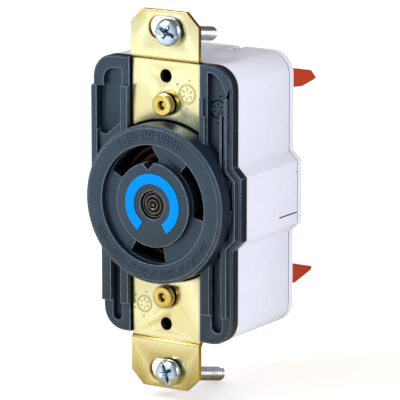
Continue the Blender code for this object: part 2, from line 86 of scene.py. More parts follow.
# The boss inside the white body and how deep its pockets go, and the cover screw holes: these get painted
# shade.
BOSS_R = 16.1
POCKET_FLOOR_Y = 6.2
PLATE_HOLE_Z = 30.16
PLATE_HOLE_R = 2.4

# Mounting screws, along their own axis from the pivot in the ear slot.
HEAD_UNDER_Y = -1.6
HEAD_R = 3.3
HEAD_DOME = 1.45
HEAD_WALL = 0.32
CROSS_ARM = (2.25, 0.62)
CROSS_TAPER = 0.25
SLOT_HALF = 0.38
HEAD_TURNS = {"upper": 24.0, "lower": 62.0}
ROOT_R = 1.28
CREST_R = 1.75
TIP_Y = 22.4
THREAD_PITCH = 1.27
THREAD_START_Y = -0.4
THREAD_END_Y = 21.65

# Where the camera stands and what it looks at, in metres.
CAMERA_PLACE = (0.47706, -0.72582, 0.18916)
CAMERA_AIM = (0.0065, 0.0042, 0.00005)
CAMERA_LENS = 336.1
CAMERA_SENSOR = 36.0


# ---------------------------------------------------------------- meshes


def smooth_by_angle(mesh):
    """Rounds the shading across shallow edges and keeps the others sharp."""
    work = bmesh.new()
    work.from_mesh(mesh)
    for face in work.faces:
        face.smooth = True
    for edge in work.edges:
        turn = edge.calc_face_angle(0.0) if len(edge.link_faces) == 2 else math.tau
        edge.smooth = turn < SMOOTH_BELOW
    work.to_mesh(mesh)
    work.free()


def piece_from(name, work, material, place=TO_METRES):
    """Makes a finished mesh object at the origin from a bmesh in millimetres."""
    bmesh.ops.remove_doubles(work, verts=work.verts, dist=MERGE_WITHIN)
    bmesh.ops.recalc_face_normals(work, faces=work.faces)
    mesh = bpy.data.meshes.new(name)
    work.to_mesh(mesh)
    work.free()
    mesh.transform(place)
    smooth_by_angle(mesh)
    if material:
        mesh.materials.append(material)
    piece = bpy.data.objects.new(name, mesh)
    bpy.context.scene.collection.objects.link(piece)
    return piece


def settled(piece):
    """Turns a piece and its modifiers into a plain mesh."""
    graph = bpy.context.evaluated_depsgraph_get()
    bpy.context.view_layer.update()
    finished = bpy.data.meshes.new_from_object(piece.evaluated_get(graph))
    piece.modifiers.clear()
    old = piece.data
    piece.data = finished
    bpy.data.meshes.remove(old)


def lathe(profile, sides):
    """A turned shape about Y through (radius, y) steps. A radius of 0 closes it at a pole."""
    work = bmesh.new()
    rings = []
    for radius, y in profile:
        if radius == 0.0:
            rings.append([work.verts.new((0.0, y, 0.0))])
            continue
        turns = [2.0 * math.pi * i / sides for i in range(sides)]
        rings.append([work.verts.new((radius * math.cos(a), y, radius * math.sin(a))) for a in turns])
    for near, far in zip(rings, rings[1:]):
        for i in range(sides):
            j = (i + 1) % sides
            corners = [near[i % len(near)], near[j % len(near)], far[j % len(far)], far[i % len(far)]]
            distinct = list(dict.fromkeys(corners))
            if len(distinct) > 2:
                work.faces.new(distinct)
    return work


def prism(outline, y_front, y_back, taper=1.0):
    """A closed bmesh with the (x, z) outline, from one depth to another."""
    work = bmesh.new()
    near = [work.verts.new((x, y_front, z)) for x, z in outline]
    far = [work.verts.new((x * taper, y_back, z * taper)) for x, z in outline]
    count = len(outline)
    for i in range(count):
        j = (i + 1) % count
        work.faces.new((near[i], near[j], far[j], far[i]))
    work.faces.new(near)
    work.faces.new(far)
    return work


def carve(piece, tool_work):
    """Cuts one exact Boolean into a piece that is still in millimetres."""
    tool = piece_from("tool", tool_work, None, AS_DRAWN)
    modifier = piece.modifiers.new("carve", "BOOLEAN")
    modifier.operation = "DIFFERENCE"
    modifier.solver = "EXACT"
    modifier.object = tool
    settled(piece)
    bpy.data.objects.remove(tool, do_unlink=True)


def round_edges(piece, width, sharp_above):
    """Rounds every edge that turns by more than an angle in degrees, in two steps."""
    edge = piece.modifiers.new("edge", "BEVEL")
    edge.width = width
    edge.segments = 2
    edge.limit_method = "ANGLE"
    edge.angle_limit = math.radians(sharp_above)
    settled(piece)


def softened(node, name, width, material):
    """A copy of a CAD shape with its doubles merged, its flats joined up and its edges rounded."""
    work = bmesh.new()
    work.from_mesh(frame["nodes"][node].data)
    bmesh.ops.remove_doubles(work, verts=work.verts, dist=CAD_MERGE_WITHIN)
    bmesh.ops.dissolve_limit(work, angle_limit=FLAT_WITHIN, verts=work.verts, edges=work.edges)
    mesh = bpy.data.meshes.new(name)
    work.to_mesh(mesh)
    work.free()
    mesh.materials.append(material)
    piece = bpy.data.objects.new(name, mesh)
    bpy.context.scene.collection.objects.link(piece)
    round_edges(piece, width * MM, ROUND_ABOVE)
    smooth_by_angle(piece.data)
    return piece


def belongs(piece, body, slot, *nodes):
    """Says what a finished piece rides on and what it stands for. The slot, for its finish, is not used."""
    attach(piece, body)
    if nodes:
        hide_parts(*nodes)


# ---------------------------------------------------------------- shader groups


def shader_group(name, inputs, outputs):
    """An empty shader group with its named sockets, and its two end nodes."""
    tree = bpy.data.node_groups.new(name, "ShaderNodeTree")
    for label, kind, value in inputs:
        socket = tree.interface.new_socket(name=label, in_out="INPUT", socket_type=kind)
        socket.default_value = value
    for label, kind in outputs:
        tree.interface.new_socket(name=label, in_out="OUTPUT", socket_type=kind)
    return tree, tree.nodes.new("NodeGroupInput"), tree.nodes.new("NodeGroupOutput")


def add_node(tree, kind, settings=None, **links):
    """A node with its settings, and its inputs given by name as values or as other nodes' outputs."""
    made = tree.nodes.new(kind)
    for key, value in (settings or {}).items():
        setattr(made, key, value)
    for label, value in links.items():
        socket = made.inputs[label.replace("_", " ")]
        if isinstance(value, bpy.types.NodeSocket):
            tree.links.new(value, socket)
        else:
            socket.default_value = value
    return made


def object_place(tree):
    return tree.nodes.new("ShaderNodeTexCoord").outputs["Object"]


def noise(tree, scale, detail=3.0, rough=0.55, place=None, distortion=0.0):
    made = add_node(tree, "ShaderNodeTexNoise", None, Vector=place or object_place(tree),
                    Scale=scale, Detail=detail, Roughness=rough, Distortion=distortion)
    return made.outputs[0]


def maths(tree, operation, first, second=None, clamp=False):
    made = tree.nodes.new("ShaderNodeMath")
    made.operation = operation
    made.use_clamp = clamp
    for socket, value in zip(made.inputs, (first, second)):
        if isinstance(value, bpy.types.NodeSocket):
            tree.links.new(value, socket)
        elif value is not None:
            socket.default_value = value
    return made.outputs[0]


def spread(tree, value, low, high, to_low=0.0, to_high=1.0):
    """Maps the span from low to high onto another span, and holds it there outside."""
    made = add_node(tree, "ShaderNodeMapRange", {"clamp": True}, Value=value,
                    From_Min=low, From_Max=high, To_Min=to_low, To_Max=to_high)
    return made.outputs[0]


def axis_of(tree, vector, axis):
    """One axis of a vector."""
    return add_node(tree, "ShaderNodeSeparateXYZ", None, Vector=vector).outputs[axis]


def facing_along(tree, axis):
    """How squarely a face looks along an axis, either way."""
    real = tree.nodes.new("ShaderNodeNewGeometry")
    return maths(tree, "ABSOLUTE", axis_of(tree, real.outputs["Normal"], axis))


def make_moulded_grain():
    """Fine spark-eroded grain, the slow swell of a moulding, and patchy gloss."""
    tree, start, end = shader_group(
        "moulded_grain",
        [("Grain Scale", "NodeSocketFloat", 5200.0), ("Swell Scale", "NodeSocketFloat", 140.0)],
        [("Height", "NodeSocketFloat"), ("Patches", "NodeSocketFloat")],
    )
    fine = noise(tree, start.outputs["Grain Scale"], 2.0, 0.6)
    slow = noise(tree, start.outputs["Swell Scale"], 3.0, 0.5)
    height = maths(tree, "ADD", maths(tree, "MULTIPLY", fine, 0.7), maths(tree, "MULTIPLY", slow, 0.5))
    tree.links.new(height, end.inputs["Height"])
    tree.links.new(spread(tree, slow, 0.32, 0.68), end.inputs["Patches"])
    return tree


def make_wear_and_highlight_edges():
    """A mask along edges, for rubbing and painted highlights: where the rounded normal leaves the real one,
    broken up by noise.
    """
    tree, start, end = shader_group(
        "edge_wear",
        [("Reach", "NodeSocketFloat", 0.00025), ("Breakup", "NodeSocketFloat", 900.0)],
        [("Mask", "NodeSocketFloat")],
    )
    rounded = add_node(tree, "ShaderNodeBevel", {"samples": 4})
    tree.links.new(start.outputs["Reach"], rounded.inputs["Radius"])
    real = tree.nodes.new("ShaderNodeNewGeometry")
    dot = add_node(tree, "ShaderNodeVectorMath", {"operation": "DOT_PRODUCT"})
    tree.links.new(rounded.outputs["Normal"], dot.inputs[0])
    tree.links.new(real.outputs["Normal"], dot.inputs[1])
    flat, rounded_over = 0.992, 0.90
    bent = spread(tree, dot.outputs["Value"], flat, rounded_over)
    broken = spread(tree, noise(tree, start.outputs["Breakup"], 4.0, 0.65), 0.38, 0.62, 0.45, 1.0)
    tree.links.new(maths(tree, "MULTIPLY", bent, broken, True), end.inputs["Mask"])
    return tree


def make_rolled_sheet():
    """Drawn-out streaks left by rolling, and cloudy tarnish."""
    tree, start, end = shader_group(
        "rolled_sheet",
        [("Streak Scale", "NodeSocketFloat", 1.0), ("Cloud Scale", "NodeSocketFloat", 170.0)],
        [("Height", "NodeSocketFloat"), ("Streaks", "NodeSocketFloat"), ("Clouds", "NodeSocketFloat")],
    )
    stretched = add_node(tree, "ShaderNodeMapping", {"vector_type": "POINT"})
    stretched.inputs["Scale"].default_value = (5200.0, 5200.0, 130.0)
    tree.links.new(object_place(tree), stretched.inputs["Vector"])
    streaks = noise(tree, start.outputs["Streak Scale"], 3.0, 0.6, stretched.outputs["Vector"])
    clouds = noise(tree, start.outputs["Cloud Scale"], 4.0, 0.6, distortion=0.4)
    tree.links.new(maths(tree, "MULTIPLY", streaks, 0.8), end.inputs["Height"])
    tree.links.new(spread(tree, streaks, 0.35, 0.65), end.inputs["Streaks"])
    tree.links.new(spread(tree, clouds, 0.38, 0.66), end.inputs["Clouds"])
    return tree


def make_fine_scratches():
    """Thin crossing hairlines from handling."""
    tree, start, end = shader_group(
        "fine_scratches",
        [("Scale", "NodeSocketFloat", 1.0)],
        [("Mask", "NodeSocketFloat")],
    )
    masks = []
    for turn, stretch in ((0.5, (3000.0, 3000.0, 60.0)), (-0.9, (2400.0, 2400.0, 45.0))):
        drawn = add_node(tree, "ShaderNodeMapping", {"vector_type": "POINT"})
        drawn.inputs["Rotation"].default_value = (0.2, turn, 0.3)
        drawn.inputs["Scale"].default_value = stretch
        tree.links.new(object_place(tree), drawn.inputs["Vector"])
        line = noise(tree, start.outputs["Scale"], 1.0, 0.4, drawn.outputs["Vector"])
        masks.append(spread(tree, line, 0.69, 0.74))
    tree.links.new(maths(tree, "MAXIMUM", masks[0], masks[1]), end.inputs["Mask"])
    return tree


def make_cut_edge():
    """A mask for faces that were sheared or drilled: those that don't face along Y."""
    tree, start, end = shader_group(
        "cut_edge",
        [("Sharpness", "NodeSocketFloat", 0.8)],
        [("Mask", "NodeSocketFloat")],
    )
    turned = maths(tree, "SUBTRACT", start.outputs["Sharpness"], facing_along(tree, "Y"))
    tree.links.new(spread(tree, turned, -0.1, 0.25), end.inputs["Mask"])
    return tree


def make_fold():
    """A mask for the bends in a sheet that otherwise faces along Y, where a painted amber reflection goes."""
    tree, start, end = shader_group(
        "fold",
        [("Lean", "NodeSocketFloat", 0.08)],
        [("Mask", "NodeSocketFloat")],
    )
    leaning = maths(tree, "SUBTRACT", facing_along(tree, "Z"), start.outputs["Lean"])
    tree.links.new(spread(tree, leaning, 0.0, 0.3), end.inputs["Mask"])
    return tree


def make_crease():
    """A mask for corners and narrow gaps, where little light gets in."""
    tree, start, end = shader_group(
        "crease",
        [("Reach", "NodeSocketFloat", 0.001), ("Open", "NodeSocketFloat", 0.82)],
        [("Mask", "NodeSocketFloat")],
    )
    opening = add_node(tree, "ShaderNodeAmbientOcclusion", {"samples": 6})
    tree.links.new(start.outputs["Reach"], opening.inputs["Distance"])
    gap = maths(tree, "SUBTRACT", start.outputs["Open"], opening.outputs["AO"])
    tree.links.new(spread(tree, gap, 0.0, 0.42), end.inputs["Mask"])
    return tree


GROUPS = {
    "grain": make_moulded_grain(),
    "glint_and_wear": make_wear_and_highlight_edges(),
    "rolled": make_rolled_sheet(),
    "scratches": make_fine_scratches(),
    "cut": make_cut_edge(),
    "fold": make_fold(),
    "crease": make_crease(),
}


# ---------------------------------------------------------------- materials


def new_material(name, colour, metallic, roughness):
    made = bpy.data.materials.new(name)
    made.use_nodes = True
    made.diffuse_color = (*colour, 1.0)
    shader = made.node_tree.nodes["Principled BSDF"]
    shader.inputs["Base Color"].default_value = (*colour, 1.0)
    shader.inputs["Metallic"].default_value = metallic
    shader.inputs["Roughness"].default_value = roughness
    return made, made.node_tree, shader


def use_group(tree, key, **values):
    made = tree.nodes.new("ShaderNodeGroup")
    made.node_tree = GROUPS[key]
    for label, value in values.items():
        made.inputs[label.replace("_", " ")].default_value = value
    return made


def blended(tree, factor, first, second):
    """Mixes two colours, each a colour or another node's output."""
    made = add_node(tree, "ShaderNodeMix", {"data_type": "RGBA"})
    tree.links.new(factor, made.inputs[0])
    for socket, value in ((made.inputs[6], first), (made.inputs[7], second)):
        if isinstance(value, bpy.types.NodeSocket):
            tree.links.new(value, socket)
        else:
            socket.default_value = (*value, 1.0)
    return made.outputs[2]


def bumped(tree, shader, height, strength, distance):
    made = add_node(tree, "ShaderNodeBump", None, Strength=strength, Distance=distance)
    tree.links.new(height, made.inputs["Height"])
    tree.links.new(made.outputs["Normal"], shader.inputs["Normal"])


def moulded_plastic(name, colour, shade, worn_and_highlit, roughness, grain, wear_reach, wear_and_highlight_share, bump,
                    sheen=0.5, sheen_tint=(1.0, 1.0, 1.0), index=1.5, black_creases=False):
    """Moulded plastic: two colours in patches, edges lightened by rubbing and by a painted highlight, painted
    shade in creases, grain and hairlines.
    With black creases the painted shade also turns metallic, so its near-black colour gives no reflection."""
    made, tree, shader = new_material(name, colour, 0.0, roughness)
    shader.inputs["IOR"].default_value = index
    shader.inputs["Specular IOR Level"].default_value = sheen
    shader.inputs["Specular Tint"].default_value = (*sheen_tint, 1.0)
    surface = use_group(tree, "grain", Grain_Scale=grain)
    glint_and_wear = use_group(tree, "glint_and_wear", Reach=wear_reach)
    scratches = use_group(tree, "scratches")
    patched = blended(tree, surface.outputs["Patches"], colour, shade)
    crease = use_group(tree, "crease", Reach=0.0012 if black_creases else 0.0006).outputs["Mask"]
    # Painted shade: creases lose their reflection too.
    if black_creases:
        tree.links.new(crease, shader.inputs["Metallic"])
    # Edges lighten, partly from rubbing and partly as a painted highlight, except in creases.
    outer = maths(tree, "MULTIPLY", glint_and_wear.outputs["Mask"], maths(tree, "SUBTRACT", 1.0, crease))
    mask = maths(tree, "MULTIPLY", outer, wear_and_highlight_share)
    coloured = blended(tree, mask, patched, worn_and_highlit)
    # Painted shade: creases darken towards a tenth of the colour.
    deep = tuple(c * 0.12 for c in colour)
    tree.links.new(blended(tree, crease, coloured, deep), shader.inputs["Base Color"])
    patchy = spread(tree, surface.outputs["Patches"], 0.0, 1.0, roughness - 0.05, roughness + 0.06)
    marked = maths(tree, "ADD", patchy, maths(tree, "MULTIPLY", scratches.outputs["Mask"], 0.10))
    dulled = maths(tree, "ADD", marked, maths(tree, "MULTIPLY", crease, 0.35))
    rubbed = maths(tree, "SUBTRACT", dulled, maths(tree, "MULTIPLY", mask, 0.08))
    tree.links.new(rubbed, shader.inputs["Roughness"])
    bumped(tree, shader, surface.outputs["Height"], bump, 0.00004)
    return made


# Painted amber reflection for bends, and painted brown shade for creases, in sheet metal.
FOLD_REFLECTION_AMBER = (0.52, 0.33, 0.05)
CREASE_SHADE_BROWN = (0.07, 0.035, 0.005)


def sheet_metal(name, colour, tarnish, cut_colour, roughness, cut_share, bump=0.10,
                crease_shade_colour=CREASE_SHADE_BROWN):
    """Rolled metal: streaks, tarnish, a painted amber reflection on the bends, coloured sheared edges,
    corners brightened by rubbing and by a painted highlight, and painted shade in creases.
    """
    made, tree, shader = new_material(name, colour, 1.0, roughness)
    rolled = use_group(tree, "rolled")
    glint_and_wear = use_group(tree, "glint_and_wear", Reach=0.00018)
    scratches = use_group(tree, "scratches", Scale=1.4)
    cut = use_group(tree, "cut")
    clouded = blended(tree, maths(tree, "MULTIPLY", rolled.outputs["Clouds"], 0.55), colour, tarnish)
    # Painted reflection: faces that lean up or down, on the bends, turn amber.
    fold = use_group(tree, "fold")
    folded = blended(tree, maths(tree, "MULTIPLY", fold.outputs["Mask"], 0.8), clouded, FOLD_REFLECTION_AMBER)
    edged = blended(tree, maths(tree, "MULTIPLY", cut.outputs["Mask"], cut_share), folded, cut_colour)
    # Edges brighten, partly from rubbing and partly as a painted highlight.
    bright = tuple(min(1.0, c * 1.12) for c in colour)
    worn_and_highlit = blended(tree, maths(tree, "MULTIPLY", glint_and_wear.outputs["Mask"], 0.35), edged, bright)
    # Painted shade: creases darken to the crease colour.
    crease = use_group(tree, "crease", Reach=0.0010, Open=0.95)
    tree.links.new(blended(tree, crease.outputs["Mask"], worn_and_highlit, crease_shade_colour), shader.inputs["Base Color"])
    streaked = spread(tree, rolled.outputs["Streaks"], 0.0, 1.0, roughness - 0.02, roughness + 0.03)
    hairs = maths(tree, "MULTIPLY", scratches.outputs["Mask"], 0.12)
    tree.links.new(maths(tree, "ADD", streaked, hairs), shader.inputs["Roughness"])
    bumped(tree, shader, rolled.outputs["Height"], bump, 0.00002)
    return made


def plated_metal(name, colour, tint, roughness, grime_and_crease_shade):
    """Plated or turned metal: two-tone plating, dirt held in scratches, edges brightened by rubbing and by a
    painted highlight, and painted shade in creases in the dirt's colour.
    """
    made, tree, shader = new_material(name, colour, 1.0, roughness)
    surface = use_group(tree, "grain", Grain_Scale=7500.0, Swell_Scale=420.0)
    glint_and_wear = use_group(tree, "glint_and_wear", Reach=0.00012)
    scratches = use_group(tree, "scratches", Scale=2.2)
    plated = blended(tree, surface.outputs["Patches"], colour, tint)
    grimy = blended(tree, maths(tree, "MULTIPLY", scratches.outputs["Mask"], 0.5), plated, grime_and_crease_shade)
    # Edges brighten, partly from rubbing and partly as a painted highlight.
    bright = tuple(min(1.0, c * 1.2) for c in colour)
    worn_and_highlit = blended(tree, maths(tree, "MULTIPLY", glint_and_wear.outputs["Mask"], 0.4), grimy, bright)
    # Painted shade: creases darken to the dirt's colour.
    crease = use_group(tree, "crease", Reach=0.0008)
    tree.links.new(blended(tree, crease.outputs["Mask"], worn_and_highlit, grime_and_crease_shade), shader.inputs["Base Color"])
    patchy = spread(tree, surface.outputs["Patches"], 0.0, 1.0, roughness - 0.05, roughness + 0.08)
    tree.links.new(patchy, shader.inputs["Roughness"])
    bumped(tree, shader, surface.outputs["Height"], 0.08, 0.00002)
    return made


SLATE_SHEEN = {"sheen_tint": (0.46, 0.68, 0.94), "black_creases": True}

# Each plastic's third colour is its edge colour, from rubbing and painted highlight; the slate black's pale
# blue-grey edges are mostly painted highlight.
MATERIALS = {
    "black_plastic": moulded_plastic(
        "slate_black_plastic", (0.006, 0.010, 0.019), (0.009, 0.015, 0.028), (0.40, 0.48, 0.60),
        roughness=0.34, grain=4200.0, wear_reach=0.00036, wear_and_highlight_share=0.85, bump=0.30,
        index=1.86, **SLATE_SHEEN),
    "mark_black": moulded_plastic(
        "raised_mark_plastic", (0.006, 0.010, 0.018), (0.008, 0.013, 0.024), (0.10, 0.13, 0.18),
        roughness=0.40, grain=4200.0, wear_reach=0.0002, wear_and_highlight_share=0.5, bump=0.2,
        index=1.82, **SLATE_SHEEN),
    "pocket_black": moulded_plastic(
        "pocket_black_plastic", (0.0018, 0.0018, 0.0020), (0.0025, 0.0025, 0.0027), (0.006, 0.006, 0.006),
        roughness=0.75, grain=4200.0, wear_reach=0.0002, wear_and_highlight_share=0.2, bump=0.2, sheen=0.02),
    "white_plastic": moulded_plastic(
        "lavender_white_plastic", (0.645, 0.675, 0.795), (0.62, 0.65, 0.775), (0.90, 0.91, 0.95),
        roughness=0.42, grain=4600.0, wear_reach=0.00045, wear_and_highlight_share=0.8, bump=0.22, sheen=0.4),
    "red_plastic": moulded_plastic(
        "signal_red_plastic", (0.42, 0.034, 0.008), (0.33, 0.026, 0.007), (0.62, 0.10, 0.04),
        roughness=0.55, grain=4000.0, wear_reach=0.0002, wear_and_highlight_share=0.5, bump=0.30, sheen=0.2),
    "blue_mark": moulded_plastic(
        "blue_ink", (0.0, 0.26, 0.78), (0.0, 0.24, 0.73), (0.01, 0.20, 0.60),
        roughness=0.70, grain=6000.0, wear_reach=0.00008, wear_and_highlight_share=0.3, bump=0.25, sheen=0.05),
    "fibre": moulded_plastic(
        "pressed_fibre", (0.62, 0.56, 0.46), (0.50, 0.44, 0.35), (0.72, 0.67, 0.58),
        roughness=0.82, grain=1900.0, wear_reach=0.0002, wear_and_highlight_share=0.5, bump=0.8),
    "yellow_strap": sheet_metal(
        "pale_yellow_strap", (0.93, 0.90, 0.58), (0.87, 0.80, 0.36), (0.80, 0.48, 0.04),
        roughness=0.26, cut_share=0.85, bump=0.03),
    # The stamped rings' crease colour is painted shade.
    "stamped_yellow": sheet_metal(
        "stamped_yellow", (0.76, 0.68, 0.32), (0.66, 0.58, 0.24), (0.62, 0.48, 0.16),
        roughness=0.36, cut_share=0.3, bump=0.05, crease_shade_colour=(0.42, 0.32, 0.10)),
    # Painted shade: the contacts deep in the slots get near-black brass.
    "slot_shade_brass": sheet_metal(
        "dulled_slot_brass", (0.06, 0.042, 0.02), (0.04, 0.028, 0.012), (0.06, 0.04, 0.016),
        roughness=0.5, cut_share=0.4),
    "contact_brass": sheet_metal(
        "contact_brass", (0.60, 0.42, 0.18), (0.46, 0.31, 0.12), (0.55, 0.36, 0.12),
        roughness=0.38, cut_share=0.4),
    "brass": plated_metal(
        "bright_brass", (0.82, 0.67, 0.24), (0.66, 0.50, 0.13), roughness=0.18, grime_and_crease_shade=(0.16, 0.09, 0.01)),
    "zinc_steel": plated_metal(
        "bright_zinc", (0.76, 0.83, 0.90), (0.44, 0.58, 0.76), roughness=0.13, grime_and_crease_shade=(0.05, 0.09, 0.16)),
    "thread_zinc": plated_metal(
        "dull_thread_zinc", (0.50, 0.50, 0.50), (0.34, 0.34, 0.33), roughness=0.28,
        grime_and_crease_shade=(0.012, 0.011, 0.010)),
    "spring_steel": plated_metal(
        "spring_steel", (0.52, 0.54, 0.57), (0.44, 0.46, 0.50), roughness=0.30, grime_and_crease_shade=(0.15, 0.15, 0.16)),
    "dark_rivet": plated_metal(
        "blackened_rivet", (0.150, 0.135, 0.130), (0.100, 0.088, 0.084), roughness=0.20,
        grime_and_crease_shade=(0.02, 0.02, 0.02)),
}


# ---------------------------------------------------------------- geometry node trees


def growth_tree(name, inputs):
    """An empty geometry tree with a geometry output and the named inputs."""
    tree = bpy.data.node_groups.new(name, "GeometryNodeTree")
    tree.interface.new_socket(name="Geometry", in_out="OUTPUT", socket_type="NodeSocketGeometry")
    for label, kind in inputs:
        tree.interface.new_socket(name=label, in_out="INPUT", socket_type=kind)
    return tree, tree.nodes.new("NodeGroupInput"), tree.nodes.new("NodeGroupOutput")


def close_tree(tree, start, end, geometry):
    """Ends a tree in Realize Instances and Set Material."""
    whole = tree.nodes.new("GeometryNodeRealizeInstances")
    painted = tree.nodes.new("GeometryNodeSetMaterial")
    tree.links.new(geometry, whole.inputs["Geometry"])
    tree.links.new(whole.outputs["Geometry"], painted.inputs["Geometry"])
    tree.links.new(start.outputs["Material"], painted.inputs["Material"])
    tree.links.new(painted.outputs["Geometry"], end.inputs["Geometry"])
    return tree


def make_wound_ridge():
    """A ridge wound along Z, as on a thread: turns, radius, length and the ridge's own radius."""
    tree, start, end = growth_tree("wound_ridge", [
        ("Turns", "NodeSocketFloat"), ("Steps", "NodeSocketInt"), ("Radius", "NodeSocketFloat"),
        ("Length", "NodeSocketFloat"), ("Ridge", "NodeSocketFloat"), ("Material", "NodeSocketMaterial")])
    asked = start.outputs
    path = add_node(tree, "GeometryNodeCurveSpiral", None, Resolution=asked["Steps"],
                    Rotations=asked["Turns"], Start_Radius=asked["Radius"],
                    End_Radius=asked["Radius"], Height=asked["Length"])
    upright = add_node(tree, "GeometryNodeSetCurveNormal", {"mode": "Z_UP"}, Curve=path.outputs["Curve"])
    swept = swept_round(tree, upright.outputs["Curve"], asked["Ridge"], 4)
    return close_tree(tree, start, end, swept)


def swept_round(tree, path, radius, sides):
    """A closed tube along a curve."""
    section = add_node(tree, "GeometryNodeCurvePrimitiveCircle", None, Resolution=sides, Radius=radius)
    swept = add_node(tree, "GeometryNodeCurveToMesh", None, Fill_Caps=True, Curve=path,
                     Profile_Curve=section.outputs["Curve"])
    return swept.outputs["Mesh"]


def points_on_arc(tree, asked, angle):
    """Points at their angles on the arc, each shifted in or out by chance, with some left out."""
    points = add_node(tree, "GeometryNodePoints", None, Count=asked["Count"])
    shift = add_node(tree, "FunctionNodeRandomValue", {"data_type": "FLOAT"}, Seed=asked["Seed"])
    shift.inputs[2].default_value = -1.0
    shift.inputs[3].default_value = 1.0
    wander = maths(tree, "MULTIPLY", shift.outputs[1], asked["Wander"])
    reach = maths(tree, "ADD", asked["Radius"], wander)
    spot = add_node(tree, "ShaderNodeCombineXYZ", None,
                    X=maths(tree, "MULTIPLY", reach, maths(tree, "COSINE", angle)),
                    Z=maths(tree, "MULTIPLY", reach, maths(tree, "SINE", angle)))
    moved = add_node(tree, "GeometryNodeSetPosition", None, Geometry=points.outputs[0],
                     Position=spot.outputs[0])
    chance = add_node(tree, "FunctionNodeRandomValue", {"data_type": "BOOLEAN"},
                      Probability=asked["Left Out"], Seed=maths(tree, "ADD", asked["Seed"], 7.0))
    thinned = add_node(tree, "GeometryNodeDeleteGeometry", {"domain": "POINT"},
                       Geometry=moved.outputs["Geometry"], Selection=chance.outputs[3])
    return thinned.outputs["Geometry"]


def small_bar(tree, asked):
    """One round bar along X, centred on its middle."""
    half = maths(tree, "MULTIPLY", asked["Length"], 0.5)
    tip = add_node(tree, "ShaderNodeCombineXYZ", None, X=half)
    tail = add_node(tree, "ShaderNodeCombineXYZ", None, X=maths(tree, "MULTIPLY", half, -1.0))
    line = add_node(tree, "GeometryNodeCurvePrimitiveLine", None, Start=tail.outputs[0], End=tip.outputs[0])
    return swept_round(tree, line.outputs["Curve"], maths(tree, "MULTIPLY", asked["Width"], 0.5), 8)


def make_raised_marks():
    """Small round bars on an arc in the XZ plane. With no turn, each one points out from the middle."""
    tree, start, end = growth_tree("raised_marks", [
        ("Count", "NodeSocketInt"), ("Radius", "NodeSocketFloat"), ("First Angle", "NodeSocketFloat"),
        ("Step", "NodeSocketFloat"), ("Length", "NodeSocketFloat"), ("Width", "NodeSocketFloat"),
        ("Turn", "NodeSocketFloat"), ("Wander", "NodeSocketFloat"), ("Left Out", "NodeSocketFloat"),
        ("Seed", "NodeSocketInt"), ("Material", "NodeSocketMaterial")])
    asked = start.outputs
    index = tree.nodes.new("GeometryNodeInputIndex").outputs["Index"]
    angle = maths(tree, "ADD", maths(tree, "MULTIPLY", index, asked["Step"]), asked["First Angle"])
    aim = add_node(tree, "ShaderNodeCombineXYZ", None, Y=maths(tree, "SUBTRACT", asked["Turn"], angle))
    turned = add_node(tree, "FunctionNodeEulerToRotation", None, Euler=aim.outputs[0])
    placed = add_node(tree, "GeometryNodeInstanceOnPoints", None, Points=points_on_arc(tree, asked, angle),
                      Instance=small_bar(tree, asked), Rotation=turned.outputs[0])
    return close_tree(tree, start, end, placed.outputs["Instances"])


WOUND_RIDGE = make_wound_ridge()
RAISED_MARKS = make_raised_marks()


def grown(name, tree, material, place, **values):
    """One plain mesh from a geometry tree, in millimetres, moved to its place in metres."""
    piece = bpy.data.objects.new(name, bpy.data.meshes.new(name))
    bpy.context.scene.collection.objects.link(piece)
    modifier = piece.modifiers.new("grow", "NODES")
    modifier.node_group = tree
    values["Material"] = material
    for item in tree.interface.items_tree:
        label = item.name.replace(" ", "_")
        if item.in_out == "INPUT" and label in values:
            modifier[item.identifier] = values[label]
    settled(piece)
    work = bmesh.new()
    work.from_mesh(piece.data)
    bmesh.ops.remove_doubles(work, verts=work.verts, dist=MERGE_WITHIN)
    bmesh.ops.recalc_face_normals(work, faces=work.faces)
    work.to_mesh(piece.data)
    work.free()
    piece.data.transform(place)
    smooth_by_angle(piece.data)
    return piece


# ---------------------------------------------------------------- pieces


def blacken_pockets(piece):
    """Painted shade: the boss behind the round face, its contact pockets and the cover screw holes are
    painted near-black.
    """
    piece.data.materials.append(MATERIALS["pocket_black"])
    for face in piece.data.polygons:
        across = math.hypot(face.center.x, face.center.z)
        from_hole = math.hypot(face.center.x, abs(face.center.z) - PLATE_HOLE_Z * MM)
        if face.center.y < POCKET_FLOOR_Y * MM and (across < BOSS_R * MM or from_hole < PLATE_HOLE_R * MM):
            face.material_index = 1


def make_softened_pieces():
    """The moulded and pressed pieces keep their CAD shapes, with rounded edges."""
    rows = [
        ("front_cover", "black_cover", "housing", "black_plastic", 0.16),
        ("contact_body", "white_body", "housing", "white_plastic", 0.22),
        ("back_cover", "white_back_cover", "housing", "white_plastic", 0.22),
        ("marking_arc", "blue_arc", "housing", "blue_mark", 0.03),
        ("bonding_bar", "tie_bar", "housing", "contact_brass", 0.08),
    ]
    for side in SIDES:
        rows.append((side + "_strap", side + "_yellow_strap", "housing", "yellow_strap", 0.14))
        rows.append((side + "_screw_washer", side + "_fibre_washer", side + "_washer_body", "fibre", 0.08))
    for pole in POLES:
        rows.append((pole + "_lever", pole + "_red_lever", pole + "_lever_body", "red_plastic", 0.22))
        rows.append((pole + "_jaw", pole + "_wire_jaw", pole + "_jaw_body", "zinc_steel", 0.08))
        rows.append((pole + "_contact", pole + "_slot_contact", "housing", "contact_brass", 0.06))
    for node, name, body, slot, width in rows:
        # Painted shade: contacts, deep in their slots, take the near-black brass.
        finish = "slot_shade_brass" if node.endswith("_contact") else slot
        piece = softened(node, name, width, MATERIALS[finish])
        belongs(piece, body, slot, node)
        if node == "contact_body":
            blacken_pockets(piece)


